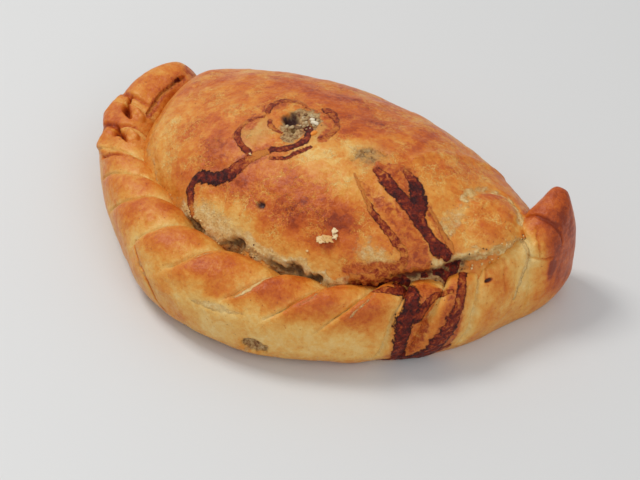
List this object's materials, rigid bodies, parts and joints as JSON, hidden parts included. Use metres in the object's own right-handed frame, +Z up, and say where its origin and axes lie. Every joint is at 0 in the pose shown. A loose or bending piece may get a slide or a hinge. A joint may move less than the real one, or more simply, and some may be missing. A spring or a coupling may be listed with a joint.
{
  "type": "cornish pasty",
  "caption": "Baked shortcrust pasty: a domed filled pocket with a crimped, folded roll along its front edge, flat underneath.",
  "frame": {"origin": "centre of the bounding box at the flat underside that the pasty rests on", "axes": "+X along the length from the flat tab to the upturned horn, -Y to the crimped front, +Z up"},
  "size_m": [0.206, 0.138, 0.0551],
  "materials": {
    "baked_crust": "matt to satin egg-washed baked shortcrust pastry"
  },
  "bodies": {
    "root": {"pasty": "baked_crust"}
  },
  "joints": []
}
